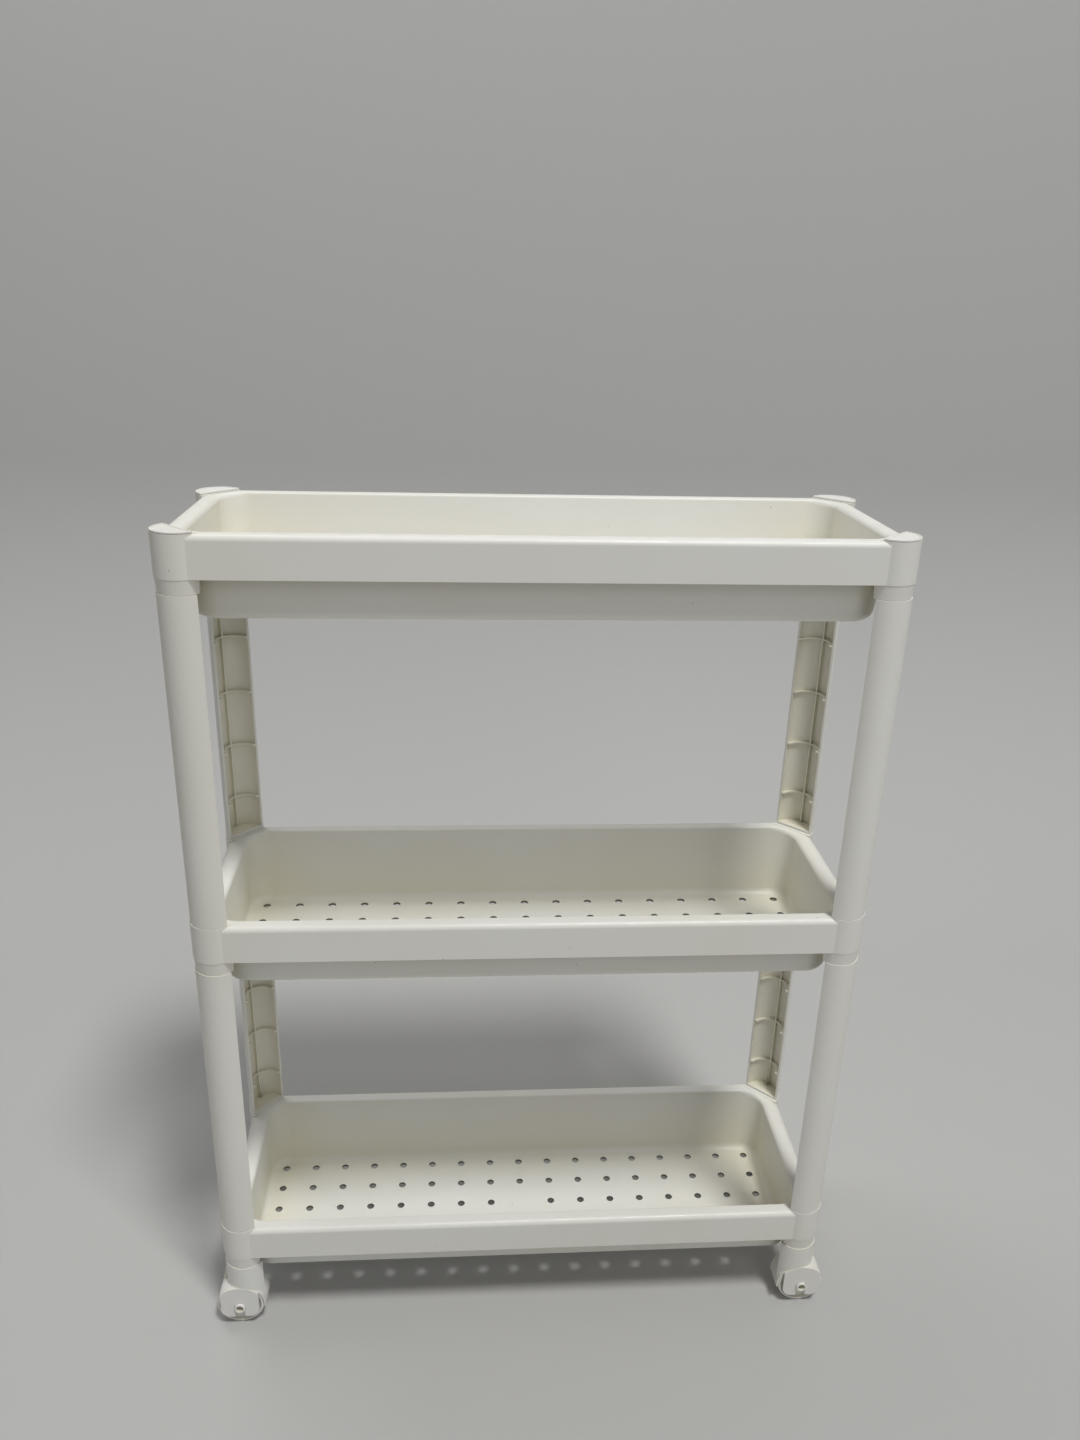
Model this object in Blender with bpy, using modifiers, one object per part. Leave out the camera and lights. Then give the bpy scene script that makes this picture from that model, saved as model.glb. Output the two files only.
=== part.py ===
"""Rolling pantry cart: three plastic trays on plug-in half-round legs, with four fixed casters.

Metres, +Z up. X runs along the cart, front is -Y. The origin is on the floor, under the middle of the cart.
Each tray has a tub, a hollow rim with a skirt, and a half-round collar at each corner. A collar is a
through socket: the leg above plugs into its top and the leg below, or a caster, into its bottom.
"""
import math

import bmesh
import bpy
from mathutils import Matrix, Vector

MM = 0.001

# Layout of the cart
COLLAR_SPAN_X = 540 * MM
COLLAR_SPAN_Y = 180 * MM
TIER_PITCH = 306.25 * MM
TIER_NAMES = ("bottom", "middle", "top")
FIT_CLEARANCE = 0.3 * MM
CUT_MARGIN = 1 * MM

# Corner collars of a tray
COLLAR_RADIUS = 18.5 * MM
COLLAR_WALL = 2.5 * MM
COLLAR_INNER_WALL = 3 * MM
COLLAR_LIP = 0.4 * MM
RING_HEIGHT = 11 * MM
RING_STEP = 0.2 * MM
RING_TAPER = 0.8 * MM
ROUND_SEGMENTS = 20

# Rim and skirt of a tray
SKIRT_HEIGHT = 31 * MM
SKIRT_WALL = 2.2 * MM
SKIRT_SETBACK_Y = 2 * MM
SKIRT_SETBACK_X = 3.5 * MM
RIM_ROUNDING = 4.5 * MM
RIM_ROUNDING_SEGMENTS = 3

# Tub of a tray
RIM_WIDTH_Y = 13 * MM
RIM_WIDTH_X = 13 * MM
RIM_LIP = 2.5 * MM
TUB_DEPTH = 64 * MM
TUB_DRAFT_Y = 11 * MM
TUB_DRAFT_X = 4.5 * MM
TUB_WALL = 2.2 * MM
TUB_CORNER_RADIUS = 25 * MM
TUB_CORNER_DRAFT = 6 * MM
TUB_FILLET = 6 * MM
TUB_CORNER_SEGMENTS = 4

# Drain holes in a tray's floor; the middle one is left out, where the plastic is fed into the mould
HOLE_RADIUS = 3.2 * MM
HOLE_COLUMNS = 17
HOLE_ROWS = 5
HOLE_MARGIN_X = 8.6 * MM
HOLE_MARGIN_Y = 5.4 * MM
HOLE_SIDES = 6

# Legs
LEG_SETBACK = 0.5 * MM
LEG_WALL = 2 * MM
LEG_RIB_DEPTH = 3 * MM
LEG_RIB_WIDTH = 1.4 * MM
LEG_RIB_PITCH = 50 * MM
LEG_RIB_COUNT = 5
LEG_END_PLATE = 2 * MM
LEG_CHANNEL_SEGMENTS = 8
SPIGOT_WALL = 2.2 * MM
FOOT_SPIGOT = 12 * MM
SPIGOT_GAP = 8 * MM

# Corner caps on the top tray
CAP_THICKNESS = 1.2 * MM
CAP_SETBACK = 0.6 * MM
CAP_PEG_SHORTER = 3 * MM

# Casters
WHEEL_RADIUS = 20.5 * MM
WHEEL_WIDTH = 17 * MM
WHEEL_ROUNDING = 1.5 * MM
WHEEL_SIDE_GAP = 0.7 * MM
WHEEL_RIM_GAP = 0.8 * MM
WHEEL_SEGMENTS = 20
HUB_RADIUS = 8 * MM
HUB_RECESS = 2.5 * MM
RIM_BAND = 2.2 * MM
AXLE_RADIUS = 4.8 * MM
AXLE_BORE = 2.3 * MM
AXLE_STICK_OUT = 2 * MM
AXLE_SEGMENTS = 12
AXLE_SNAP = 1 * MM
AXLE_OFFSET_X = 5.5 * MM
AXLE_TO_SEAM = 45.5 * MM
CASTER_SETBACK = 0.3 * MM
PLATE_THICKNESS = 2.8 * MM
PLATE_CUT = 16.8 * MM
PLATE_DROP = 10.5 * MM
PLATE_CORNER = 8 * MM
HOOD_WALL = 1.2 * MM
STEM_WALL = 3 * MM
STEM_BACK = 5 * MM
GUSSET_TOP = 6.5 * MM

# Sizes that follow from the ones above
COLLAR_X = COLLAR_SPAN_X / 2 - COLLAR_RADIUS
COLLAR_Y = COLLAR_SPAN_Y / 2 - COLLAR_RADIUS
SOCKET_RADIUS = COLLAR_RADIUS - COLLAR_WALL
SPIGOT_RADIUS = SOCKET_RADIUS - FIT_CLEARANCE
LEG_RADIUS = COLLAR_RADIUS - LEG_SETBACK
SOCKET_DEPTH = SKIRT_HEIGHT + COLLAR_LIP + RING_HEIGHT
HEAD_SPIGOT = SOCKET_DEPTH - FOOT_SPIGOT - SPIGOT_GAP
CAP_PEG = FOOT_SPIGOT - CAP_PEG_SHORTER
SEAT_HEIGHT = SKIRT_HEIGHT + COLLAR_LIP
LEG_LENGTH = TIER_PITCH - SEAT_HEIGHT - RING_HEIGHT - 2 * FIT_CLEARANCE
SKIRT_X = COLLAR_SPAN_X / 2 - SKIRT_SETBACK_X
SKIRT_Y = COLLAR_SPAN_Y / 2 - SKIRT_SETBACK_Y
OPENING_X = SKIRT_X - RIM_WIDTH_X
OPENING_Y = SKIRT_Y - RIM_WIDTH_Y
FLOOR_X = OPENING_X - TUB_DRAFT_X
FLOOR_Y = OPENING_Y - TUB_DRAFT_Y
FLOOR_CORNER_RADIUS = TUB_CORNER_RADIUS - TUB_CORNER_DRAFT
FLOOR_Z = SKIRT_HEIGHT - TUB_DEPTH
AXLE_Z = WHEEL_RADIUS
SEAM_Z = AXLE_Z + AXLE_TO_SEAM
BOTTOM_SKIRT_Z = SEAM_Z + RING_HEIGHT
AXLE_X = COLLAR_X + AXLE_OFFSET_X
WHEEL_SPACE_RADIUS = WHEEL_RADIUS + WHEEL_RIM_GAP
HOOD_RADIUS = WHEEL_SPACE_RADIUS + HOOD_WALL
WHEEL_SPACE_WIDTH = WHEEL_WIDTH + 2 * WHEEL_SIDE_GAP
PLATE_Y = COLLAR_SPAN_Y / 2 - CASTER_SETBACK
WHEEL_Y = PLATE_Y - PLATE_THICKNESS - WHEEL_SPACE_WIDTH / 2
HOUSING_DEPTH = WHEEL_SPACE_WIDTH + 2 * PLATE_THICKNESS
PLATE_SHOULDER = math.sqrt(HOOD_RADIUS ** 2 - PLATE_CUT ** 2)

# Corner name: sign of X, sign of Y
CORNERS = {
    "front_left": (-1, -1),
    "front_right": (1, -1),
    "rear_left": (-1, 1),
    "rear_right": (1, 1),
}

IVORY = (0.84, 0.82, 0.75)
WHITE = (0.88, 0.87, 0.83)


def clear_scene():
    for obj in list(bpy.data.objects):
        bpy.data.objects.remove(obj)


def new_collection(name):
    collection = bpy.data.collections.new(name)
    bpy.context.scene.collection.children.link(collection)
    return collection


def plastic(name, colour, roughness):
    material = bpy.data.materials.new(name)
    material.use_nodes = True
    shader = material.node_tree.nodes["Principled BSDF"]
    shader.inputs["Base Color"].default_value = (*colour, 1)
    shader.inputs["Roughness"].default_value = roughness
    shader.inputs["Metallic"].default_value = 0
    return material


def guide(name, bm):
    """A hidden construction object made from a bmesh."""
    bmesh.ops.recalc_face_normals(bm, faces=bm.faces)
    mesh = bpy.data.meshes.new(name)
    bm.to_mesh(mesh)
    bm.free()
    obj = bpy.data.objects.new(name, mesh)
    obj.hide_render = True
    obj.display_type = "WIRE"
    cutters.objects.link(obj)
    return obj


def boolean(target, operation, other):
    modifier = target.modifiers.new(other.name, "BOOLEAN")
    modifier.operation = operation
    modifier.solver = "EXACT"
    modifier.object = other


def finished_mesh(obj, name):
    """The mesh that an object's modifiers give, smooth on its round faces."""
    depsgraph = bpy.context.evaluated_depsgraph_get()
    mesh = bpy.data.meshes.new_from_object(obj.evaluated_get(depsgraph))
    mesh.name = name
    mesh.shade_smooth()
    mesh.set_sharp_from_angle(angle=math.radians(35))
    return mesh


def place(name, mesh, material, location=(0, 0, 0), turn=0):
    """A finished piece of the cart; pieces that are alike share a mesh."""
    if not mesh.materials:
        mesh.materials.append(material)
    obj = bpy.data.objects.new(name, mesh)
    obj.location = location
    obj.rotation_euler = (0, 0, turn)
    parts.objects.link(obj)
    return obj


def add_cylinder(bm, radius, low, high, segments=ROUND_SEGMENTS, top_radius=None, matrix=Matrix()):
    """A cylinder or cone about local Z, from low to high, added to a bmesh."""
    lift = Matrix.Translation((0, 0, (low + high) / 2))
    upper = radius if top_radius is None else top_radius
    bmesh.ops.create_cone(bm, cap_ends=True, segments=segments, radius1=radius, radius2=upper,
                          depth=high - low, matrix=matrix @ lift)


def add_box(bm, low, high, matrix=Matrix()):
    size = Vector(high) - Vector(low)
    middle = (Vector(high) + Vector(low)) / 2
    scale = Matrix.Diagonal((*size, 1))
    bmesh.ops.create_cube(bm, size=1, matrix=matrix @ Matrix.Translation(middle) @ scale)


def add_half_round(bm, radius, low, high, chord, top_radius=None, matrix=Matrix()):
    """A cylinder about local Z that is cut flat at x = chord, keeping the side towards +X."""
    piece = bmesh.new()
    add_cylinder(piece, radius, low, high, top_radius=top_radius)
    everything = list(piece.verts) + list(piece.edges) + list(piece.faces)
    bmesh.ops.bisect_plane(piece, geom=everything, plane_co=(chord, 0, 0), plane_no=(1, 0, 0),
                           dist=1e-6, clear_inner=True)
    bmesh.ops.holes_fill(piece, edges=[edge for edge in piece.edges if edge.is_boundary])
    bmesh.ops.transform(piece, matrix=matrix, verts=piece.verts)
    mesh = bpy.data.meshes.new("half_round")
    piece.to_mesh(mesh)
    piece.free()
    bm.from_mesh(mesh)
    bpy.data.meshes.remove(mesh)


def corner_angle(signs):
    return math.atan2(signs[1], signs[0])


def collar_matrix(signs):
    """Local +X points out of the cart along the corner's diagonal, on the collar's axis."""
    return Matrix.Translation((signs[0] * COLLAR_X, signs[1] * COLLAR_Y, 0)) @ Matrix.Rotation(
        corner_angle(signs), 4, "Z")


def rounded_rectangle(half_x, half_y, radius, z):
    """Points of a rectangle with round corners, counter-clockwise from above."""
    points = []
    centres = ((1, 1, 0), (-1, 1, 90), (-1, -1, 180), (1, -1, 270))
    for sign_x, sign_y, start in centres:
        for step in range(TUB_CORNER_SEGMENTS + 1):
            angle = math.radians(start + 90 * step / TUB_CORNER_SEGMENTS)
            points.append((sign_x * (half_x - radius) + radius * math.cos(angle),
                           sign_y * (half_y - radius) + radius * math.sin(angle), z))
    return points


def loft(name, rings):
    """A closed block through rings of equal point count, from the lowest to the highest."""
    bm = bmesh.new()
    loops = [[bm.verts.new(point) for point in ring] for ring in rings]
    for lower, upper in zip(loops, loops[1:]):
        for index in range(len(lower)):
            following = (index + 1) % len(lower)
            bm.faces.new((lower[index], lower[following], upper[following], upper[index]))
    bm.faces.new(reversed(loops[0]))
    bm.faces.new(loops[-1])
    return guide(name, bm)


def tub_ring(height, outset):
    """A ring of the tub's wall at a height above the tray's floor, moved out by outset."""
    share = height / TUB_DEPTH
    return rounded_rectangle(FLOOR_X + TUB_DRAFT_X * share + outset, FLOOR_Y + TUB_DRAFT_Y * share + outset,
                             FLOOR_CORNER_RADIUS + TUB_CORNER_DRAFT * share + outset, FLOOR_Z + height)


def tub_fillet_rings(outset):
    """The rounded foot of the tub's wall, of the inside or, with an outset, of the outside."""
    radius = TUB_FILLET + outset
    rings = []
    for angle in (0, 45, 90):
        drawn_in = radius * (1 - math.sin(math.radians(angle)))
        height = radius * (1 - math.cos(math.radians(angle))) - outset
        rings.append(tub_ring(height, outset - drawn_in))
    return rings


def rim_block(inset, low, high):
    """The rim's plan as a block, with its corners cut off so that the cut faces lie inside the collars."""
    half_x = SKIRT_X - inset
    half_y = SKIRT_Y - inset
    bm = bmesh.new()
    add_box(bm, (-half_x, -half_y, low), (half_x, half_y, high))
    upright = [edge for edge in bm.edges if edge.verts[0].co.z != edge.verts[1].co.z]
    bmesh.ops.bevel(bm, geom=upright, offset=SKIRT_X - COLLAR_X, segments=1, affect="EDGES",
                    offset_type="OFFSET", profile=0.5)
    return bm


def round_rim_edges(bm, high):
    """Round the top edges of the rim's four straight sides."""
    edges = []
    for edge in bm.edges:
        ends = [vert.co for vert in edge.verts]
        on_top = all(abs(end.z - high) < 1e-6 for end in ends)
        straight = abs(ends[0].x - ends[1].x) < 1e-6 or abs(ends[0].y - ends[1].y) < 1e-6
        if on_top and straight:
            edges.append(edge)
    bmesh.ops.bevel(bm, geom=edges, offset=RIM_ROUNDING, segments=RIM_ROUNDING_SEGMENTS, affect="EDGES",
                    offset_type="OFFSET", profile=0.5)


def collar_blocks():
    bm = bmesh.new()
    for signs in CORNERS.values():
        add_half_round(bm, COLLAR_RADIUS, 0, SEAT_HEIGHT, -COLLAR_INNER_WALL, matrix=collar_matrix(signs))
    return guide("collar_blocks", bm)


def collar_rings():
    """The lower end of each collar, a little narrower than the skirt above it."""
    bm = bmesh.new()
    ring_top = COLLAR_RADIUS - RING_STEP
    for signs in CORNERS.values():
        add_half_round(bm, ring_top - RING_TAPER, -RING_HEIGHT, CUT_MARGIN, -COLLAR_INNER_WALL + RING_STEP,
                       top_radius=ring_top, matrix=collar_matrix(signs))
    return guide("collar_rings", bm)


def collar_sockets():
    bm = bmesh.new()
    for signs in CORNERS.values():
        add_half_round(bm, SOCKET_RADIUS, -RING_HEIGHT - CUT_MARGIN, SEAT_HEIGHT + CUT_MARGIN, 0,
                       matrix=collar_matrix(signs))
    return guide("collar_sockets", bm)


def drain_holes():
    bm = bmesh.new()
    reach_x = FLOOR_X - TUB_FILLET - HOLE_MARGIN_X
    reach_y = FLOOR_Y - TUB_FILLET - HOLE_MARGIN_Y
    middle = (HOLE_COLUMNS // 2, HOLE_ROWS // 2)
    for column in range(HOLE_COLUMNS):
        for row in range(HOLE_ROWS):
            if (column, row) == middle:
                continue
            x = reach_x * (2 * column / (HOLE_COLUMNS - 1) - 1)
            y = reach_y * (2 * row / (HOLE_ROWS - 1) - 1)
            add_cylinder(bm, HOLE_RADIUS, FLOOR_Z - TUB_WALL - CUT_MARGIN, FLOOR_Z + CUT_MARGIN,
                         segments=HOLE_SIDES, matrix=Matrix.Translation((x, y, 0)))
    return guide("drain_holes", bm)


def tray_mesh():
    """One tray, with z = 0 at the lower edge of its skirt."""
    bm = rim_block(0, 0, SKIRT_HEIGHT)
    round_rim_edges(bm, SKIRT_HEIGHT)
    tray = guide("tray", bm)
    under_rim = guide("under_rim", rim_block(SKIRT_WALL, -CUT_MARGIN, SKIRT_HEIGHT - SKIRT_WALL))
    tub = loft("tub", tub_fillet_rings(TUB_WALL) + [tub_ring(TUB_DEPTH - SKIRT_WALL / 2, TUB_WALL)])
    hollow = loft("tub_hollow", tub_fillet_rings(0) + [
        tub_ring(TUB_DEPTH - RIM_LIP, 0),
        tub_ring(TUB_DEPTH + CUT_MARGIN, RIM_LIP + CUT_MARGIN),
    ])
    boolean(tray, "DIFFERENCE", under_rim)
    boolean(tray, "UNION", tub)
    boolean(tray, "UNION", collar_blocks())
    boolean(tray, "UNION", collar_rings())
    boolean(tray, "DIFFERENCE", hollow)
    boolean(tray, "DIFFERENCE", collar_sockets())
    boolean(tray, "DIFFERENCE", drain_holes())
    return finished_mesh(tray, "tray")


def leg_mesh():
    """One leg about its collar's axis, with z = 0 at its foot and +X pointing out of the cart."""
    bm = bmesh.new()
    add_half_round(bm, LEG_RADIUS, 0, LEG_LENGTH, 0)
    leg = guide("leg", bm)

    spigots = bmesh.new()
    add_half_round(spigots, SPIGOT_RADIUS, -FOOT_SPIGOT, LEG_END_PLATE / 2, FIT_CLEARANCE)
    add_half_round(spigots, SPIGOT_RADIUS, LEG_LENGTH - LEG_END_PLATE / 2, LEG_LENGTH + HEAD_SPIGOT,
                   FIT_CLEARANCE)
    pockets = bmesh.new()
    pocket_radius = SPIGOT_RADIUS - SPIGOT_WALL
    pocket_chord = FIT_CLEARANCE + SPIGOT_WALL
    add_half_round(pockets, pocket_radius, -FOOT_SPIGOT - CUT_MARGIN, 0, pocket_chord)
    add_half_round(pockets, pocket_radius, LEG_LENGTH, LEG_LENGTH + HEAD_SPIGOT + CUT_MARGIN, pocket_chord)

    channel = bmesh.new()
    bay_radius = LEG_RADIUS - LEG_WALL
    channel_radius = bay_radius - LEG_RIB_DEPTH
    add_cylinder(channel, channel_radius, LEG_END_PLATE, LEG_LENGTH - LEG_END_PLATE,
                 segments=LEG_CHANNEL_SEGMENTS)

    bays = bmesh.new()
    first_rib = (LEG_LENGTH - LEG_RIB_PITCH * (LEG_RIB_COUNT - 1)) / 2
    rib_heights = [first_rib + LEG_RIB_PITCH * index for index in range(LEG_RIB_COUNT)]
    bay_lows = [LEG_END_PLATE] + [height + LEG_RIB_WIDTH / 2 for height in rib_heights]
    bay_highs = [height - LEG_RIB_WIDTH / 2 for height in rib_heights] + [LEG_LENGTH - LEG_END_PLATE]
    for low, high in zip(bay_lows, bay_highs):
        add_cylinder(bays, bay_radius, low, high, segments=LEG_CHANNEL_SEGMENTS)
    bay_guide = guide("leg_bays", bays)

    rib = bmesh.new()
    add_box(rib, (channel_radius - CUT_MARGIN, -LEG_RIB_WIDTH / 2, -CUT_MARGIN),
            (LEG_RADIUS, LEG_RIB_WIDTH / 2, LEG_LENGTH + CUT_MARGIN))
    boolean(bay_guide, "DIFFERENCE", guide("leg_upright_rib", rib))

    boolean(leg, "UNION", guide("leg_spigots", spigots))
    boolean(leg, "DIFFERENCE", guide("leg_spigot_pockets", pockets))
    boolean(leg, "DIFFERENCE", guide("leg_channel", channel))
    boolean(leg, "DIFFERENCE", bay_guide)
    return finished_mesh(leg, "leg")


def cap_mesh():
    """A corner cap about its collar's axis, with z = 0 at the collar's top."""
    bm = bmesh.new()
    add_half_round(bm, COLLAR_RADIUS - CAP_SETBACK, FIT_CLEARANCE, FIT_CLEARANCE + CAP_THICKNESS,
                   CAP_SETBACK - COLLAR_INNER_WALL)
    cap = guide("cap", bm)
    peg = bmesh.new()
    add_half_round(peg, SPIGOT_RADIUS, -CAP_PEG, FIT_CLEARANCE + CAP_THICKNESS / 2, FIT_CLEARANCE)
    pocket = bmesh.new()
    add_half_round(pocket, SPIGOT_RADIUS - SPIGOT_WALL, -CAP_PEG - CUT_MARGIN, 0, FIT_CLEARANCE + SPIGOT_WALL)
    boolean(cap, "UNION", guide("cap_peg", peg))
    boolean(cap, "DIFFERENCE", guide("cap_peg_pocket", pocket))
    return finished_mesh(cap, "cap")


def axle_frame(signs):
    """Origin at the wheel's centre, local Z along the axle towards the outer plate."""
    centre = Matrix.Translation((signs[0] * AXLE_X, signs[1] * WHEEL_Y, AXLE_Z))
    return centre @ Matrix.Rotation(-signs[1] * math.pi / 2, 4, "X")


def add_gusset(bm, signs):
    """A wedge that carries the outer side of the stem down to the shoulder of the hood."""
    shoulder = AXLE_X + PLATE_CUT - FIT_CLEARANCE
    heights = ((AXLE_Z + PLATE_SHOULDER / 2, shoulder),
               (AXLE_Z + PLATE_SHOULDER, shoulder),
               (SEAM_Z - GUSSET_TOP, COLLAR_X + LEG_RADIUS - LEG_SETBACK))
    rear = WHEEL_Y - HOUSING_DEPTH / 2 + FIT_CLEARANCE
    corners = []
    for z, outer in heights:
        for x in (COLLAR_X, outer):
            for y in (COLLAR_Y, rear):
                corners.append(bm.verts.new((signs[0] * x, signs[1] * y, z)))
    bmesh.ops.convex_hull(bm, input=corners)


def plate_corners(corner, signs):
    """What is cut away to round the lower corners of the cheek plates and to end the hood above them."""
    axle = axle_frame(signs)
    middle = Matrix.Translation((signs[0] * AXLE_X, signs[1] * WHEEL_Y, AXLE_Z))
    beyond = HOUSING_DEPTH / 2 + CUT_MARGIN
    wide = 2 * HOOD_RADIUS
    across = PLATE_CUT - PLATE_CORNER
    drop = PLATE_DROP - PLATE_CORNER
    blocks = bmesh.new()
    rounds = bmesh.new()
    for side in (-1, 1):
        ends = sorted((side * across, side * wide))
        add_box(blocks, (ends[0], -beyond, -wide), (ends[1], beyond, -drop), matrix=middle)
        add_cylinder(rounds, PLATE_CORNER, -2 * beyond, 2 * beyond,
                     matrix=Matrix.Translation((side * across, 0, -drop)) @ axle)
    cut = guide(f"plate_corners_{corner}", blocks)
    boolean(cut, "DIFFERENCE", guide(f"plate_rounds_{corner}", rounds))
    return cut


def housing_mesh(corner, signs):
    """A caster's housing in place: plug, stem, hood and two cheek plates round the wheel."""
    collar = collar_matrix(signs)
    axle = axle_frame(signs)
    middle = Matrix.Translation((signs[0] * AXLE_X, signs[1] * WHEEL_Y, AXLE_Z))
    half_depth = HOUSING_DEPTH / 2
    beyond = half_depth + CUT_MARGIN
    wide = 2 * HOOD_RADIUS
    trim_top = PLATE_SHOULDER + FIT_CLEARANCE

    bm = bmesh.new()
    add_half_round(bm, LEG_RADIUS, AXLE_Z + PLATE_SHOULDER / 3, SEAM_Z - FIT_CLEARANCE, -STEM_BACK,
                   matrix=collar)
    housing = guide(f"housing_{corner}", bm)
    plug = bmesh.new()
    add_half_round(plug, SPIGOT_RADIUS, SEAM_Z - STEM_WALL / 2, SEAM_Z + HEAD_SPIGOT, FIT_CLEARANCE,
                   matrix=collar)
    gusset = bmesh.new()
    add_gusset(gusset, signs)
    drum = bmesh.new()
    add_cylinder(drum, HOOD_RADIUS, -half_depth, half_depth, matrix=axle)

    stem_hollow = bmesh.new()
    add_cylinder(stem_hollow, LEG_RADIUS - STEM_WALL, AXLE_Z + HOOD_RADIUS + HOOD_WALL, SEAM_Z - STEM_WALL,
                 matrix=collar)
    wheel_space = bmesh.new()
    add_cylinder(wheel_space, WHEEL_SPACE_RADIUS, -WHEEL_SPACE_WIDTH / 2, WHEEL_SPACE_WIDTH / 2, matrix=axle)
    bores = bmesh.new()
    add_cylinder(bores, AXLE_RADIUS + FIT_CLEARANCE, -beyond, beyond, segments=AXLE_SEGMENTS, matrix=axle)
    slot = bmesh.new()
    slot_half = AXLE_RADIUS - AXLE_SNAP / 2
    add_box(slot, (-slot_half, -beyond, -HOOD_RADIUS), (slot_half, beyond, -AXLE_RADIUS / 3), matrix=middle)
    foot_trim = bmesh.new()
    add_box(foot_trim, (-wide, -wide, -wide), (wide, wide, -PLATE_DROP), matrix=middle)
    outer_trim = bmesh.new()
    outer = sorted((signs[0] * PLATE_CUT, signs[0] * wide))
    add_box(outer_trim, (outer[0], -beyond, -wide), (outer[1], beyond, trim_top), matrix=middle)
    inner_trim = bmesh.new()
    inner = sorted((-signs[0] * PLATE_CUT, -signs[0] * wide))
    plate = sorted((signs[1] * beyond, signs[1] * WHEEL_SPACE_WIDTH / 2))
    add_box(inner_trim, (inner[0], plate[0], -wide), (inner[1], plate[1], trim_top), matrix=middle)

    boolean(housing, "UNION", guide(f"plug_{corner}", plug))
    boolean(housing, "UNION", guide(f"gusset_{corner}", gusset))
    boolean(housing, "DIFFERENCE", guide(f"stem_hollow_{corner}", stem_hollow))
    boolean(housing, "UNION", guide(f"drum_{corner}", drum))
    boolean(housing, "DIFFERENCE", guide(f"wheel_space_{corner}", wheel_space))
    boolean(housing, "DIFFERENCE", guide(f"bores_{corner}", bores))
    boolean(housing, "DIFFERENCE", guide(f"slot_{corner}", slot))
    boolean(housing, "DIFFERENCE", guide(f"foot_trim_{corner}", foot_trim))
    boolean(housing, "DIFFERENCE", guide(f"outer_trim_{corner}", outer_trim))
    boolean(housing, "DIFFERENCE", guide(f"inner_trim_{corner}", inner_trim))
    boolean(housing, "DIFFERENCE", plate_corners(corner, signs))
    return finished_mesh(housing, f"housing_{corner}")


def turned_mesh(name, profile, segments):
    """A ring turned about its local Z axis from a closed profile of (radius, height) points."""
    bm = bmesh.new()
    verts = [bm.verts.new((radius, 0, height)) for radius, height in profile]
    for first, second in zip(verts, verts[1:] + verts[:1]):
        bm.edges.new((first, second))
    ring = guide(name, bm)
    screw = ring.modifiers.new("turn", "SCREW")
    screw.axis = "Z"
    screw.steps = segments
    screw.render_steps = segments
    screw.use_merge_vertices = True
    screw.merge_threshold = 0.00001
    mesh = finished_mesh(ring, name)
    bm = bmesh.new()
    bm.from_mesh(mesh)
    bmesh.ops.recalc_face_normals(bm, faces=bm.faces)
    bm.to_mesh(mesh)
    bm.free()
    return mesh


def wheel_profile():
    half = WHEEL_WIDTH / 2
    bore = AXLE_RADIUS + FIT_CLEARANCE
    inner_rim = WHEEL_RADIUS - RIM_BAND
    recessed = half - HUB_RECESS
    return [
        (bore, half),
        (HUB_RADIUS, half),
        (HUB_RADIUS, recessed),
        (inner_rim, recessed),
        (inner_rim, half),
        (WHEEL_RADIUS - WHEEL_ROUNDING, half),
        (WHEEL_RADIUS, half - WHEEL_ROUNDING),
        (WHEEL_RADIUS, WHEEL_ROUNDING - half),
        (WHEEL_RADIUS - WHEEL_ROUNDING, -half),
        (bore, -half),
    ]


def axle_profile():
    reach = HOUSING_DEPTH / 2 + AXLE_STICK_OUT
    return [(AXLE_BORE, reach), (AXLE_RADIUS, reach), (AXLE_RADIUS, -reach), (AXLE_BORE, -reach)]


def build_trays():
    mesh = tray_mesh()
    material = plastic("tray_plastic", IVORY, 0.42)
    for tier, name in enumerate(TIER_NAMES):
        place(f"{name}_tray", mesh, material, (0, 0, BOTTOM_SKIRT_Z + tier * TIER_PITCH))


def build_legs():
    mesh = leg_mesh()
    material = plastic("leg_plastic", IVORY, 0.4)
    for tier, level in enumerate(("lower", "upper")):
        foot = BOTTOM_SKIRT_Z + tier * TIER_PITCH + SEAT_HEIGHT + FIT_CLEARANCE
        for corner, signs in CORNERS.items():
            location = (signs[0] * COLLAR_X, signs[1] * COLLAR_Y, foot)
            place(f"{level}_leg_{corner}", mesh, material, location, corner_angle(signs))


def build_caps():
    mesh = cap_mesh()
    material = plastic("cap_plastic", WHITE, 0.4)
    seat = BOTTOM_SKIRT_Z + (len(TIER_NAMES) - 1) * TIER_PITCH + SEAT_HEIGHT
    for corner, signs in CORNERS.items():
        place(f"corner_cap_{corner}", mesh, material, (signs[0] * COLLAR_X, signs[1] * COLLAR_Y, seat),
              corner_angle(signs))


def build_casters():
    housing_material = plastic("housing_plastic", WHITE, 0.38)
    wheel_material = plastic("wheel_plastic", WHITE, 0.45)
    axle_material = plastic("axle_plastic", WHITE, 0.35)
    wheel = turned_mesh("wheel", wheel_profile(), WHEEL_SEGMENTS)
    axle = turned_mesh("axle", axle_profile(), AXLE_SEGMENTS)
    for corner, signs in CORNERS.items():
        place(f"caster_housing_{corner}", housing_mesh(corner, signs), housing_material)
        frame = axle_frame(signs)
        for kind, mesh, material in (("wheel", wheel, wheel_material), ("axle", axle, axle_material)):
            piece = place(f"{kind}_{corner}", mesh, material)
            piece.matrix_world = frame


clear_scene()
parts = new_collection("rolling_pantry_cart")
cutters = new_collection("cutters")
build_trays()
build_legs()
build_caps()
build_casters()
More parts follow.
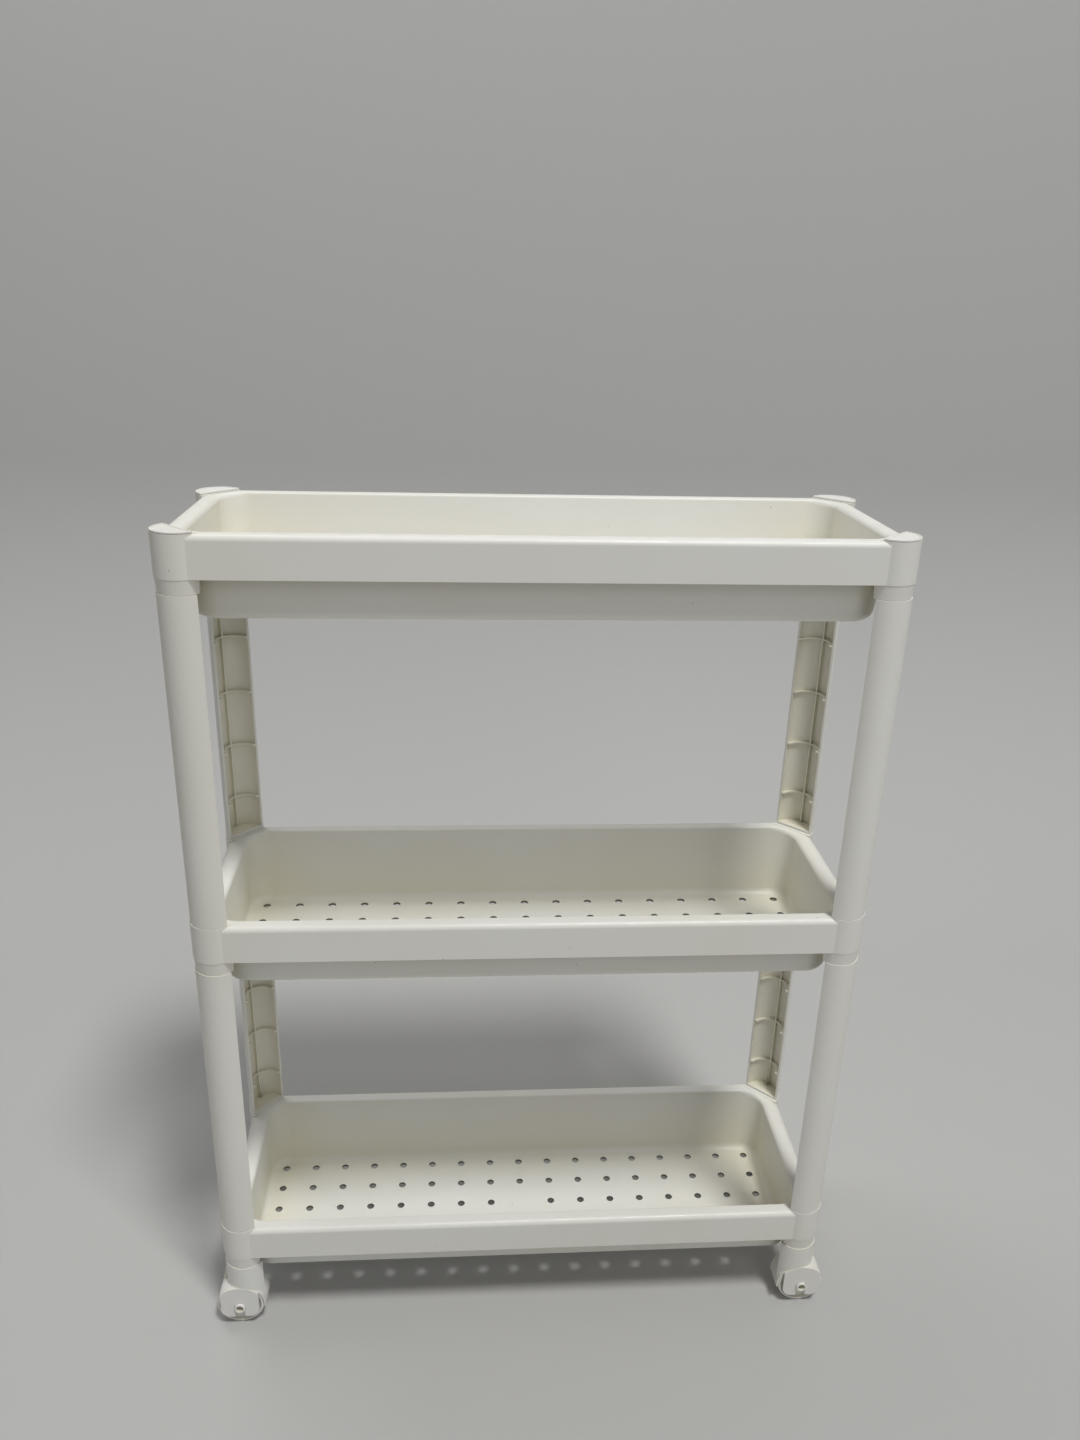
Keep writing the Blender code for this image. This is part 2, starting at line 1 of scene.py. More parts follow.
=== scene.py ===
"""Looks of the rolling pantry cart: fine smooth mouldings in satin ivory plastic, in plain studio light.

Metres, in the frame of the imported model. Every piece stands for the CAD node of the same name and keeps its
place and outer size. Its curves are rounder and its edges softer. Rims, drain holes, caps and axle ends are
drawn more closely, which moves their surfaces by a few millimetres at most.
"""
import math

import bmesh
import bpy
from mathutils import Matrix, Vector


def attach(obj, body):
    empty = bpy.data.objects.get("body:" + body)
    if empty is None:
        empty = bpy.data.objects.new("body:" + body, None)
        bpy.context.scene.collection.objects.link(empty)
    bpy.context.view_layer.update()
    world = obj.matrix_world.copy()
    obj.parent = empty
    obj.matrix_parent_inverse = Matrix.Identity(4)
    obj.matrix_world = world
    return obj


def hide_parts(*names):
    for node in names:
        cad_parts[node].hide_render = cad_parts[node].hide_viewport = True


MM = 0.001

# Camera: place in metres, turns in degrees, sensor and focal length in millimetres
CAMERA_PLACE = (-0.0583, -0.8345, 0.8817)
CAMERA_YAW = -4.396
CAMERA_PITCH = 21.474
CAMERA_ROLL = 1.548
CAMERA_LENS = 27.606
SENSOR_HEIGHT = 36
CLIP_START = 0.01

# Lamps: place, point aimed at, width, watts and colour
LAMPS = {
    "key": ((1.18, -2.1, 6.1), (0, 0, 0.35), 1.2, 228, (1.0, 1.0, 0.99)),
    "back": ((-0.8, 0.7, 2.6), (0, 0, 0.4), 1.0, 10, (1.0, 1.0, 1.0)),
    "fill": ((0.8, -2.2, 2.0), (0, 0, 0.4), 1.2, 7, (1.0, 1.0, 1.0)),
}

# World: its light on the cart, and the grey seen where the backdrop ends
WORLD_COLOUR = (0.97, 0.98, 1.0)
WORLD_LIGHT = 0.16
WORLD_SEEN = 0.5

# Backdrop: how far it reaches, and where the floor bends up into the wall behind the cart
BACKDROP = (0.50, 0.497, 0.487)
BACKDROP_ROUGHNESS = 0.8
BACKDROP_REACH = 4.0
BEND_START = 0.45
BEND_RADIUS = 0.6
BEND_STEPS = 24

# Colours of the plastic, the dust on it, and the dirt and painted shade in its drain holes, linear
IVORY = (0.82, 0.815, 0.775)
WHITE = (0.83, 0.825, 0.80)
DUST = (0.30, 0.26, 0.20)
# Walls of the drain holes: partly dirt, partly painted shade
HOLE_DIRT_AND_SHADE = (0.20, 0.185, 0.15)

# Plastic of each kind of piece: colour, roughness and share of cells with a speck
SURFACES = {
    "tray": (IVORY, 0.42, 0.05),
    "leg": (IVORY, 0.40, 0.02),
    "cap": (WHITE, 0.40, 0.03),
    "housing": (WHITE, 0.38, 0.03),
    "wheel": (WHITE, 0.45, 0.06),
    "axle": (WHITE, 0.35, 0.03),
}
# Plastic of the drain-hole walls, darkened with dirt and painted shade
HOLE_DIRT_AND_SHADE_SURFACE = (HOLE_DIRT_AND_SHADE, 0.6, 0.0)

# What is left of the plastic's colour where it has yellowed, where painted shade with a warm bounce tint
# fills sheltered places, and where dirt and painted shade darken creases
YELLOWED = (0.97, 0.955, 0.91)
# Painted shade with a warm tint of bounced light, in sheltered places
BOUNCE_SHADE_TINT = (0.94, 0.90, 0.72)
# Dirt and painted shade in tight creases
SOILED_AND_SHADED = (0.35, 0.34, 0.31)

# How near a wall has to be for the painted shade of sheltered places and the dirt and painted shade of
# creases to gather, and how sharply they fade
BOUNCE_SHADE_DISTANCE = 60 * MM
BOUNCE_SHADE_POWER = 1
CREASE_DIRT_AND_SHADE_DISTANCE = 4 * MM
CREASE_DIRT_AND_SHADE_POWER = 2.5
SHELTER_SAMPLES = 8

# Noise on the plastic: repeats per metre, detail, and the values that count as none and as full
YELLOWING_NOISE = (6, 3, 0.35, 0.70)
SCUFF_NOISE = (60, 6, 0.40, 0.75)
GRAIN_NOISE = (1800, 3, 0.3, 0.7)
WAVE_NOISE = (30, 1, 0.3, 0.7)
SPECK_CELLS = 110
SPECK_SIZE = 0.05
SPECK_BLUR = 0.5

# Shine and relief of the plastic
PLASTIC_IOR = 1.49
SCUFF_SMOOTHEST = -0.06
SCUFF_ROUGHEST = 0.14
WAVE_STRENGTH = 0.10
WAVE_HEIGHT = 0.4 * MM
GRAIN_STRENGTH = 0.05
GRAIN_HEIGHT = 0.2 * MM

# Softening of moulded edges
ROUNDING = {
    "tray": 0.35 * MM,
    "leg": 0.25 * MM,
    "cap": 0.35 * MM,
    "housing": 0.3 * MM,
    "wheel": 0.3 * MM,
    "axle": 0.2 * MM,
}
ROUNDING_SEGMENTS = 2
SHARP_ANGLE = math.radians(40)
LARGE_FACE_WEIGHT = 100

# Layout, as in the CAD
COLLAR_SPAN_X = 540 * MM
COLLAR_SPAN_Y = 180 * MM
TIER_PITCH = 306.25 * MM
CLEARANCE = 0.3 * MM
TIERS = ("bottom", "middle", "top")
CORNERS = {
    "front_left": (-1, -1),
    "front_right": (1, -1),
    "rear_left": (-1, 1),
    "rear_right": (1, 1),
}

# Cutting: how far a cutter stands out, what counts as the same place, and as a long edge or an upright face
CUT_MARGIN = 1 * MM
FLAT = 0.001 * MM
LONG_EDGE = 100 * MM
UPRIGHT_NORMAL = 0.5

# Collars
COLLAR_RADIUS = 18.5 * MM
COLLAR_WALL = 2.5 * MM
COLLAR_CHORD = -3 * MM
COLLAR_LIP = 0.4 * MM
RING_HEIGHT = 11 * MM
RING_STEP = 0.2 * MM
RING_TAPER = 1.1 * MM
ROUND_SEGMENTS = 96

# Rim and skirt
SKIRT_HEIGHT = 31 * MM
SKIRT_WALL = 2.2 * MM
SKIRT_SETBACK_X = 3.5 * MM
SKIRT_SETBACK_Y = 2 * MM
RIM_WIDTH = 13 * MM
RIM_ROUNDING_X = 9 * MM
RIM_ROUNDING_Y = 4.5 * MM
RIM_ROUNDING_SEGMENTS = 8
RIM_ROUNDING_PROFILE = 0.5
LIP_HEIGHT = 4.5 * MM
LIP_X = 6.5 * MM
LIP_Y = 1.5 * MM
LIP_STEPS = 8

# Tub: the drafts are how much wider it is at the rim than at the floor, outside and inside
TUB_DEPTH = 64 * MM
TUB_WALL = 2.2 * MM
TUB_DRAFT_X = 4.5 * MM
TUB_DRAFT_Y = 11 * MM
TUB_CORNER_DRAFT = 6 * MM
INNER_DRAFT_X = 0.5 * MM
INNER_DRAFT_Y = 12 * MM
INNER_CORNER_DRAFT = 2 * MM
TUB_CORNER_RADIUS = 25 * MM
TUB_CORNER_SEGMENTS = 14
TUB_FILLET = 6 * MM
TUB_FILLET_STEPS = 6

# Drain holes
HOLE_RADIUS = 3.4 * MM
HOLE_MARGIN_X = 8.6 * MM
HOLE_MARGIN_Y = 5.4 * MM
HOLE_COLUMNS = 17
HOLE_ROWS = 5
HOLE_SIDES = 24

# Legs
LEG_SETBACK = 0.5 * MM
LEG_WALL = 2 * MM
LEG_RIB_DEPTH = 3 * MM
LEG_RIB_WIDTH = 1.4 * MM
LEG_RIB_PITCH = 50 * MM
LEG_RIB_COUNT = 5
LEG_END_PLATE = 2 * MM
FOOT_SPIGOT = 12 * MM
SPIGOT_GAP = 8 * MM

# Caps
CAP_SETBACK = 0.2 * MM
CAP_CHORD = -0.5 * MM
CAP_THICKNESS = 1.2 * MM
CAP_BORDER = 1.4 * MM
CAP_GROOVE = 0.7 * MM
CAP_GROOVE_DEPTH = 0.5 * MM
CAP_PANEL_DROP = 0.15 * MM
CAP_PEG_SHORTER = 3 * MM

# Wheels and axles
WHEEL_RADIUS = 20.5 * MM
WHEEL_WIDTH = 17 * MM
WHEEL_ROUNDING = 1.5 * MM
WHEEL_ROUNDING_STEPS = 5
WHEEL_RECESS = 2.5 * MM
WHEEL_RIM_BAND = 2.2 * MM
WHEEL_SEGMENTS = 72
HUB_RADIUS = 8 * MM
AXLE_RADIUS = 4.8 * MM
AXLE_BORE = 3 * MM
AXLE_STICK_OUT = 2 * MM
AXLE_CROWN = 0.6
AXLE_CROWN_STEPS = 8
AXLE_SEGMENTS = 48

# Caster housings
AXLE_OFFSET_X = 5.5 * MM
AXLE_TO_SEAM = 45.5 * MM
CASTER_SETBACK = 0.3 * MM
WHEEL_RIM_GAP = 0.8 * MM
WHEEL_SIDE_GAP = 0.7 * MM
HOOD_WALL = 1.2 * MM
PLATE_THICKNESS = 2.8 * MM
PLATE_CUT = 16.8 * MM
PLATE_DROP = 10.5 * MM
PLATE_CORNER = 8 * MM
AXLE_SNAP = 1 * MM
STEM_WALL = 3 * MM
STEM_CHORD = -5 * MM
GUSSET_BELOW_SEAM = 6.5 * MM
GUSSET_SETBACK = 0.5 * MM

# Sizes that follow from the ones above
COLLAR_X = COLLAR_SPAN_X / 2 - COLLAR_RADIUS
COLLAR_Y = COLLAR_SPAN_Y / 2 - COLLAR_RADIUS
SOCKET_RADIUS = COLLAR_RADIUS - COLLAR_WALL
SPIGOT_RADIUS = SOCKET_RADIUS - CLEARANCE
SEAT_HEIGHT = SKIRT_HEIGHT + COLLAR_LIP
RING_TOP_RADIUS = COLLAR_RADIUS - RING_STEP
RING_FOOT_RADIUS = RING_TOP_RADIUS - RING_TAPER
SKIRT_X = COLLAR_SPAN_X / 2 - SKIRT_SETBACK_X
SKIRT_Y = COLLAR_SPAN_Y / 2 - SKIRT_SETBACK_Y
TUB_FLOOR_X = SKIRT_X - RIM_WIDTH - TUB_DRAFT_X
TUB_FLOOR_Y = SKIRT_Y - RIM_WIDTH - TUB_DRAFT_Y
TUB_FLOOR_Z = SKIRT_HEIGHT - TUB_DEPTH
TUB_FLOOR_CORNER = TUB_CORNER_RADIUS - TUB_CORNER_DRAFT
HOLE_REACH_X = TUB_FLOOR_X - TUB_FILLET - HOLE_MARGIN_X
HOLE_REACH_Y = TUB_FLOOR_Y - TUB_FILLET - HOLE_MARGIN_Y
LEG_RADIUS = COLLAR_RADIUS - LEG_SETBACK
LEG_LENGTH = TIER_PITCH - SEAT_HEIGHT - RING_HEIGHT - 2 * CLEARANCE
HEAD_SPIGOT = SEAT_HEIGHT + RING_HEIGHT - FOOT_SPIGOT - SPIGOT_GAP
CAP_RADIUS = COLLAR_RADIUS - CAP_SETBACK
CAP_PEG = FOOT_SPIGOT - CAP_PEG_SHORTER
WHEEL_RECESS_RADIUS = WHEEL_RADIUS - WHEEL_RIM_BAND
WHEEL_SPACE_RADIUS = WHEEL_RADIUS + WHEEL_RIM_GAP
WHEEL_SPACE_WIDTH = WHEEL_WIDTH + 2 * WHEEL_SIDE_GAP
HOOD_RADIUS = WHEEL_SPACE_RADIUS + HOOD_WALL
HOOD_SHOULDER = math.sqrt(HOOD_RADIUS ** 2 - PLATE_CUT ** 2)
SLOT_HALF = AXLE_RADIUS - AXLE_SNAP / 2
SLOT_TOP = -AXLE_RADIUS / 3
HOUSING_DEPTH = WHEEL_SPACE_WIDTH + 2 * PLATE_THICKNESS
HOUSING_CUT_X = 2 * HOOD_RADIUS
HOUSING_CUT_Y = HOUSING_DEPTH / 2 + CUT_MARGIN
AXLE_REACH = HOUSING_DEPTH / 2 + AXLE_STICK_OUT
AXLE_X = COLLAR_X + AXLE_OFFSET_X
AXLE_Z = WHEEL_RADIUS
WHEEL_Y = COLLAR_SPAN_Y / 2 - CASTER_SETBACK - HOUSING_DEPTH / 2
SEAM_Z = AXLE_Z + AXLE_TO_SEAM
GUSSET_TOP = SEAM_Z - GUSSET_BELOW_SEAM
GUSSET_FOOT = AXLE_Z + HOOD_SHOULDER / 2
STEM_FOOT = AXLE_Z + HOOD_SHOULDER / 3
BOTTOM_SKIRT_Z = SEAM_Z + RING_HEIGHT


def camera_matrix():
    """Camera to world, from a yaw about Z, a pitch down and a roll about the view."""
    yaw, pitch, roll = (math.radians(angle) for angle in (CAMERA_YAW, CAMERA_PITCH, CAMERA_ROLL))
    look_along_y = Matrix(((1, 0, 0), (0, 0, -1), (0, 1, 0)))
    turn_yaw = Matrix.Rotation(-yaw, 3, "Z")
    turn_pitch = Matrix.Rotation(pitch, 3, "X")
    turn_roll = Matrix.Rotation(roll, 3, "Z")
    right, down, forward = turn_roll @ turn_pitch @ look_along_y @ turn_yaw
    rotation = Matrix((right, -down, -forward)).transposed()
    return Matrix.Translation(CAMERA_PLACE) @ rotation.to_4x4()


def add_camera():
    data = bpy.data.cameras.new("camera")
    data.sensor_fit = "VERTICAL"
    data.sensor_height = SENSOR_HEIGHT
    data.lens = CAMERA_LENS
    data.clip_start = CLIP_START
    camera = bpy.data.objects.new("camera", data)
    camera.matrix_world = camera_matrix()
    bpy.context.scene.collection.objects.link(camera)
    bpy.context.scene.camera = camera


def add_lamp(name, place, target, width, watts, colour):
    data = bpy.data.lights.new(name, "AREA")
    data.shape = "DISK"
    data.size = width
    data.energy = watts
    data.color = colour
    lamp = bpy.data.objects.new(name, data)
    lamp.location = place
    direction = Vector(target) - Vector(place)
    lamp.rotation_euler = direction.to_track_quat("-Z", "Y").to_euler()
    bpy.context.scene.collection.objects.link(lamp)


def add_world():
    """Weak even light, behind which the camera and reflections see a pale grey."""
    world = bpy.data.worlds.new("studio")
    world.use_nodes = True
    nodes = world.node_tree.nodes
    links = world.node_tree.links
    background = nodes["Background"]
    background.inputs["Color"].default_value = (*WORLD_COLOUR, 1)
    path = nodes.new("ShaderNodeLightPath")
    seen = path.outputs["Is Camera Ray"]
    for kind in ("Is Glossy Ray", "Is Transmission Ray"):
        either = nodes.new("ShaderNodeMath")
        either.operation = "MAXIMUM"
        links.new(seen, either.inputs[0])
        links.new(path.outputs[kind], either.inputs[1])
        seen = either.outputs["Value"]
    strength = nodes.new("ShaderNodeMapRange")
    strength.inputs["To Min"].default_value = WORLD_LIGHT
    strength.inputs["To Max"].default_value = WORLD_SEEN
    links.new(seen, strength.inputs["Value"])
    links.new(strength.outputs["Result"], background.inputs["Strength"])
    bpy.context.scene.world = world


def add_studio():
    """Pale sweep of floor and wall, a soft key from high in front, a weak fill and a light from behind."""
    bpy.context.scene.view_settings.view_transform = "Standard"
    add_world()
    for name, settings in LAMPS.items():
        add_lamp(name, *settings)
    add_backdrop()


def add_backdrop():
    """One sheet that runs along the floor and turns up into a wall behind the cart."""
    profile = [(-BACKDROP_REACH, 0), (BEND_START, 0)]
    for step in range(1, BEND_STEPS + 1):
        angle = math.radians(90 * step / BEND_STEPS)
        profile.append((BEND_START + BEND_RADIUS * math.sin(angle), BEND_RADIUS * (1 - math.cos(angle))))
    profile.append((BEND_START + BEND_RADIUS, BACKDROP_REACH))
    bm = bmesh.new()
    rows = [[bm.verts.new((x, y, z)) for x in (-BACKDROP_REACH, BACKDROP_REACH)] for y, z in profile]
    for lower, upper in zip(rows, rows[1:]):
        bm.faces.new((lower[0], lower[1], upper[1], upper[0]))
    mesh = bpy.data.meshes.new("backdrop")
    bm.to_mesh(mesh)
    bm.free()
    mesh.shade_smooth()
    mesh.materials.append(backdrop_material())
    backdrop = bpy.data.objects.new("backdrop", mesh)
    bpy.context.scene.collection.objects.link(backdrop)


def new_material(name):
    material = bpy.data.materials.new(name)
    material.use_nodes = True
    return material, material.node_tree.nodes["Principled BSDF"]


def backdrop_material():
    material, shader = new_material("backdrop")
    shader.inputs["Base Color"].default_value = (*BACKDROP, 1)
    shader.inputs["Roughness"].default_value = BACKDROP_ROUGHNESS
    return material


def noise(nodes, links, coordinate, settings):
    """Noise spread from 0 to 1, from its repeats per metre, detail, and the values that become 0 and 1."""
    scale, detail, low, high = settings
    texture = nodes.new("ShaderNodeTexNoise")
    texture.inputs["Scale"].default_value = scale
    texture.inputs["Detail"].default_value = detail
    links.new(coordinate, texture.inputs["Vector"])
    spread = nodes.new("ShaderNodeMapRange")
    spread.inputs["From Min"].default_value = low
    spread.inputs["From Max"].default_value = high
    links.new(texture.outputs["Fac"], spread.inputs["Value"])
    return spread.outputs["Result"]


def mix_colour(nodes, links, factor, first, second):
    """A blend of two colours, each a tuple or an output of a node."""
    mix = nodes.new("ShaderNodeMix")
    mix.data_type = "RGBA"
    links.new(factor, mix.inputs["Factor"])
    for socket, value in (("A", first), ("B", second)):
        target = [item for item in mix.inputs if item.name == socket and item.type == "RGBA"][0]
        if isinstance(value, tuple):
            target.default_value = (*value, 1)
        else:
            links.new(value, target)
    return [item for item in mix.outputs if item.type == "RGBA"][0]


def specks(nodes, links, coordinate, share):
    """Round specks, in a share of the cells of a random grid."""
    cells = nodes.new("ShaderNodeTexVoronoi")
    cells.inputs["Scale"].default_value = SPECK_CELLS
    links.new(coordinate, cells.inputs["Vector"])
    split = nodes.new("ShaderNodeSeparateColor")
    links.new(cells.outputs["Color"], split.inputs["Color"])
    chosen = nodes.new("ShaderNodeMath")
    chosen.operation = "LESS_THAN"
    chosen.inputs[1].default_value = share
    links.new(split.outputs["Red"], chosen.inputs[0])
    near = nodes.new("ShaderNodeMapRange")
    near.inputs["From Min"].default_value = SPECK_SIZE * (1 + SPECK_BLUR)
    near.inputs["From Max"].default_value = SPECK_SIZE * (1 - SPECK_BLUR)
    links.new(cells.outputs["Distance"], near.inputs["Value"])
    both = nodes.new("ShaderNodeMath")
    both.operation = "MULTIPLY"
    links.new(chosen.outputs["Value"], both.inputs[0])
    links.new(near.outputs["Result"], both.inputs[1])
    return both.outputs["Value"]


def sheltered(nodes, links, distance, power):
    """How closely a place is surrounded by its own piece within a distance, from 0 to 1."""
    open_share = nodes.new("ShaderNodeAmbientOcclusion")
    open_share.samples = SHELTER_SAMPLES
    open_share.only_local = True
    open_share.inputs["Distance"].default_value = distance
    closed = nodes.new("ShaderNodeMath")
    closed.operation = "SUBTRACT"
    closed.inputs[0].default_value = 1
    links.new(open_share.outputs["AO"], closed.inputs[1])
    shaped = nodes.new("ShaderNodeMath")
    shaped.operation = "POWER"
    shaped.inputs[1].default_value = power
    links.new(closed.outputs["Value"], shaped.inputs[0])
    return shaped.outputs["Value"]


def tinted(colour, factors):
    return tuple(value * factor for value, factor in zip(colour, factors))


def aged_and_shaded_colour(nodes, links, coordinate, colour, speck_share):
    """The plastic's colour with yellowing, painted shade with a warm bounce tint in sheltered places, dirt
    and painted shade in creases, and specks of dust.
    """
    yellowing = noise(nodes, links, coordinate, YELLOWING_NOISE)
    base = mix_colour(nodes, links, yellowing, colour, tinted(colour, YELLOWED))
    # Painted shade: places sheltered within 60 mm are darkened and tinted warm, as bounced light and shadow
    # would make them
    bounce_shade = sheltered(nodes, links, BOUNCE_SHADE_DISTANCE, BOUNCE_SHADE_POWER)
    bounce_shaded = mix_colour(nodes, links, bounce_shade, base, tinted(colour, BOUNCE_SHADE_TINT))
    # Dirt and painted shade: tight creases and seams are darkened
    crease_dirt_and_shade = sheltered(nodes, links, CREASE_DIRT_AND_SHADE_DISTANCE, CREASE_DIRT_AND_SHADE_POWER)
    soiled_and_shaded = mix_colour(nodes, links, crease_dirt_and_shade, bounce_shaded, tinted(colour, SOILED_AND_SHADED))
    return mix_colour(nodes, links, specks(nodes, links, coordinate, speck_share), soiled_and_shaded, DUST)


def scuffed_roughness(nodes, links, coordinate, roughness):
    rough = nodes.new("ShaderNodeMapRange")
    rough.inputs["To Min"].default_value = roughness + SCUFF_SMOOTHEST
    rough.inputs["To Max"].default_value = roughness + SCUFF_ROUGHEST
    links.new(noise(nodes, links, coordinate, SCUFF_NOISE), rough.inputs["Value"])
    return rough.outputs["Result"]


def bump(nodes, links, height, strength, distance):
    node = nodes.new("ShaderNodeBump")
    node.inputs["Strength"].default_value = strength
    node.inputs["Distance"].default_value = distance
    links.new(height, node.inputs["Height"])
    return node


def moulded_relief(nodes, links, coordinate):
    """Fine grain on a surface that is slightly wavy."""
    wavy = bump(nodes, links, noise(nodes, links, coordinate, WAVE_NOISE), WAVE_STRENGTH, WAVE_HEIGHT)
    grainy = bump(nodes, links, noise(nodes, links, coordinate, GRAIN_NOISE), GRAIN_STRENGTH, GRAIN_HEIGHT)
    links.new(wavy.outputs["Normal"], grainy.inputs["Normal"])
    return grainy.outputs["Normal"]


def plastic(name, colour, roughness, speck_share):
    """Moulded plastic that has been in use for some years, with painted shade in its sheltered places and
    creases.
    """
    material, shader = new_material(name)
    nodes = material.node_tree.nodes
    links = material.node_tree.links
    coordinate = nodes.new("ShaderNodeTexCoord").outputs["Object"]
    links.new(aged_and_shaded_colour(nodes, links, coordinate, colour, speck_share), shader.inputs["Base Color"])
    links.new(scuffed_roughness(nodes, links, coordinate, roughness), shader.inputs["Roughness"])
    links.new(moulded_relief(nodes, links, coordinate), shader.inputs["Normal"])
    shader.inputs["IOR"].default_value = PLASTIC_IOR
    return material


def guide(name, bm):
    """An object made from a bmesh, in the scene only while a piece is being cut."""
    bmesh.ops.recalc_face_normals(bm, faces=bm.faces)
    mesh = bpy.data.meshes.new(name)
    bm.to_mesh(mesh)
    bm.free()
    obj = bpy.data.objects.new(name, mesh)
    bpy.context.scene.collection.objects.link(obj)
    guides.append(obj)
    return obj


def shape(name, add, *sizes, **options):
    """A guide that holds one shape, drawn by one of the add functions below."""
    bm = bmesh.new()
    add(bm, *sizes, **options)
    return guide(name, bm)


def boolean(target, operation, other):
    modifier = target.modifiers.new(other.name, "BOOLEAN")
    modifier.operation = operation
    modifier.solver = "EXACT"
    modifier.object = other


def cut_mesh(obj):
    """The mesh that an object's modifiers give; the guides are then cleared away."""
    depsgraph = bpy.context.evaluated_depsgraph_get()
    mesh = bpy.data.meshes.new_from_object(obj.evaluated_get(depsgraph))
    while guides:
        bpy.data.objects.remove(guides.pop())
    return mesh


def softened(cut, rounding, matrix):
    """A copy of a cut mesh in its place, with small roundings on its sharp edges and even shading."""
    mesh = cut.copy()
    mesh.transform(matrix)
    if matrix.determinant() < 0:
        mesh.flip_normals()
    mesh.shade_smooth()
    mesh.set_sharp_from_angle(angle=SHARP_ANGLE)
    obj = bpy.data.objects.new("softened", mesh)
    bpy.context.scene.collection.objects.link(obj)
    bevel = obj.modifiers.new("edges", "BEVEL")
    bevel.width = rounding
    bevel.segments = ROUNDING_SEGMENTS
    bevel.limit_method = "ANGLE"
    bevel.angle_limit = SHARP_ANGLE
    bevel.use_clamp_overlap = True
    normals = obj.modifiers.new("normals", "WEIGHTED_NORMAL")
    normals.weight = LARGE_FACE_WEIGHT
    normals.keep_sharp = True
    depsgraph = bpy.context.evaluated_depsgraph_get()
    finished = bpy.data.meshes.new_from_object(obj.evaluated_get(depsgraph))
    bpy.data.objects.remove(obj)
    bpy.data.meshes.remove(mesh)
    return finished


def place(node, cut, kind, body, matrix):
    """A finished piece that stands for a CAD node and moves with its body."""
    mesh = softened(cut, ROUNDING[kind], matrix)
    mesh.name = f"{node}_moulding"
    for material in materials[kind]:
        mesh.materials.append(material)
    obj = bpy.data.objects.new(mesh.name, mesh)
    bpy.context.scene.collection.objects.link(obj)
    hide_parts(node)
    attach(obj, body)


def add_cylinder(bm, radius, low, high, segments=ROUND_SEGMENTS, top_radius=None, matrix=Matrix()):
    """A cylinder or cone about local Z, from low to high, added to a bmesh."""
    lift = Matrix.Translation((0, 0, (low + high) / 2))
    upper = radius if top_radius is None else top_radius
    bmesh.ops.create_cone(bm, cap_ends=True, segments=segments, radius1=radius, radius2=upper,
                          depth=high - low, matrix=matrix @ lift)


def add_box(bm, low, high, matrix=Matrix()):
    size = Vector(high) - Vector(low)
    middle = (Vector(high) + Vector(low)) / 2
    scale = Matrix.Diagonal((*size, 1))
    bmesh.ops.create_cube(bm, size=1, matrix=matrix @ Matrix.Translation(middle) @ scale)


def add_half_round(bm, radius, low, high, chord, top_radius=None, matrix=Matrix()):
    """A cylinder about local Z that is cut flat at x = chord, keeping the side towards +X."""
    piece = bmesh.new()
    add_cylinder(piece, radius, low, high, top_radius=top_radius)
    everything = list(piece.verts) + list(piece.edges) + list(piece.faces)
    bmesh.ops.bisect_plane(piece, geom=everything, plane_co=(chord, 0, 0), plane_no=(1, 0, 0),
                           dist=FLAT, clear_inner=True)
    bmesh.ops.holes_fill(piece, edges=[edge for edge in piece.edges if edge.is_boundary])
    bmesh.ops.transform(piece, matrix=matrix, verts=piece.verts)
    mesh = bpy.data.meshes.new("half_round")
    piece.to_mesh(mesh)
    piece.free()
    bm.from_mesh(mesh)
    bpy.data.meshes.remove(mesh)


def collar_matrix(signs, z=0):
    """Local +X points out of the cart along the corner's diagonal, on the collar's axis."""
    turn = Matrix.Rotation(math.atan2(signs[1], signs[0]), 4, "Z")
    return Matrix.Translation((signs[0] * COLLAR_X, signs[1] * COLLAR_Y, z)) @ turn


def wheel_centre(signs):
    return Matrix.Translation((signs[0] * AXLE_X, signs[1] * WHEEL_Y, AXLE_Z))


def axle_matrix(signs):
    """Origin at the wheel's centre, local Z along the axle towards the outer plate."""
    return wheel_centre(signs) @ Matrix.Rotation(-signs[1] * math.pi / 2, 4, "X")


def rounded_rectangle(half_x, half_y, radius, z):
    """Points of a rectangle with round corners, counter-clockwise from above."""
    points = []
    for sign_x, sign_y, start in ((1, 1, 0), (-1, 1, 90), (-1, -1, 180), (1, -1, 270)):
        for step in range(TUB_CORNER_SEGMENTS + 1):
            angle = math.radians(start + 90 * step / TUB_CORNER_SEGMENTS)
            points.append((sign_x * (half_x - radius) + radius * math.cos(angle),
                           sign_y * (half_y - radius) + radius * math.sin(angle), z))
    return points


def loft(name, rings):
    """A closed block through rings of equal point count, from the lowest to the highest."""
    bm = bmesh.new()
    loops = [[bm.verts.new(point) for point in ring] for ring in rings]
    for lower, upper in zip(loops, loops[1:]):
        for index in range(len(lower)):
            following = (index + 1) % len(lower)
            bm.faces.new((lower[index], lower[following], upper[following], upper[index]))
    bm.faces.new(reversed(loops[0]))
    bm.faces.new(loops[-1])
    return guide(name, bm)


def tub_ring(height, outset_x, outset_y, inside):
    """A ring of the tub's wall at a height above the tray's floor, moved out along each axis."""
    share = height / TUB_DEPTH
    drafts = (TUB_DRAFT_X, TUB_DRAFT_Y, TUB_CORNER_DRAFT)
    if inside:
        drafts = (INNER_DRAFT_X, INNER_DRAFT_Y, INNER_CORNER_DRAFT)
    half_x = TUB_FLOOR_X + drafts[0] * share + outset_x
    half_y = TUB_FLOOR_Y + drafts[1] * share + outset_y
    radius = TUB_FLOOR_CORNER + drafts[2] * share + (outset_x + outset_y) / 2
    return rounded_rectangle(half_x, half_y, radius, TUB_FLOOR_Z + height)


